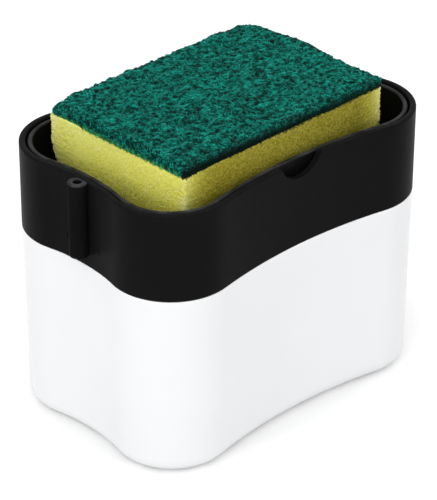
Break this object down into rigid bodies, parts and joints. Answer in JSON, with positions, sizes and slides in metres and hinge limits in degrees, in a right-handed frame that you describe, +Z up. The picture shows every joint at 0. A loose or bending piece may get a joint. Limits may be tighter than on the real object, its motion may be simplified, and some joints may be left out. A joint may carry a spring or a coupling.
{
  "type": "soap pump caddy",
  "caption": "Countertop soap pump caddy: waisted white soap tank, black lift-off collar, sprung press tray on a central pump, and a sponge with a scouring pad standing in the tray.",
  "frame": {"origin": "middle of the reservoir's flat base, on the surface that the caddy stands on", "axes": "+X along the long side, away from the end with the socket; +Y to the back, so the finger notch faces -Y; +Z up"},
  "size_m": [0.138, 0.0914, 0.1178],
  "materials": {
    "white_gloss": "gloss",
    "black_satin": "satin",
    "pump_white": "satin",
    "silicone": "matt",
    "tube_clear": "milky",
    "spring_steel": "drawn wire",
    "ball_steel": "polished",
    "foam_yellow": "open-cell foam",
    "pad_green": "fibre web"
  },
  "bodies": {
    "reservoir": {"reservoir": "white_gloss"},
    "collar": {"collar": "black_satin", "end_socket": "black_satin", "deck": "black_satin", "lid_gasket": "silicone", "pump_housing": "pump_white", "pump_gasket": "silicone", "pump_ring_nut": "black_satin", "pump_cap": "pump_white", "ball_cage": "pump_white", "dip_tube": "tube_clear", "return_spring": "spring_steel"},
    "plunger": {"pump_stem": "pump_white", "piston_seal": "silicone"},
    "tray": {"tray": "black_satin", "soap_nozzle": "pump_white"},
    "sponge": {"sponge_foam": "foam_yellow", "scouring_pad": "pad_green"},
    "inlet_ball": {"inlet_ball": "ball_steel"},
    "outlet_ball": {"outlet_ball": "ball_steel"}
  },
  "joints": [
    {"name": "collar_lift", "type": "slide", "parent": "reservoir", "child": "collar", "axis": [0, 0, 1], "range_m": [0, 0.08]},
    {"name": "pump_press", "type": "slide", "parent": "collar", "child": "plunger", "axis": [0, 0, -1], "range_m": [0, 0.01], "stiffness_N_per_m": 500, "springref_m": -0.008, "deforming": ["return_spring"]},
    {"name": "tray_lift", "type": "slide", "parent": "plunger", "child": "tray", "axis": [0, 0, 1], "range_m": [0, 0.035]},
    {"name": "sponge_lift", "type": "slide", "parent": "tray", "child": "sponge", "axis": [0, 0, 1], "range_m": [0, 0.045]},
    {"name": "inlet_valve", "type": "slide", "parent": "collar", "child": "inlet_ball", "axis": [0, 0, 1], "range_m": [0, 0.0015]},
    {"name": "outlet_valve", "type": "slide", "parent": "plunger", "child": "outlet_ball", "axis": [0, 0, 1], "range_m": [0, 0.0012]}
  ]
}
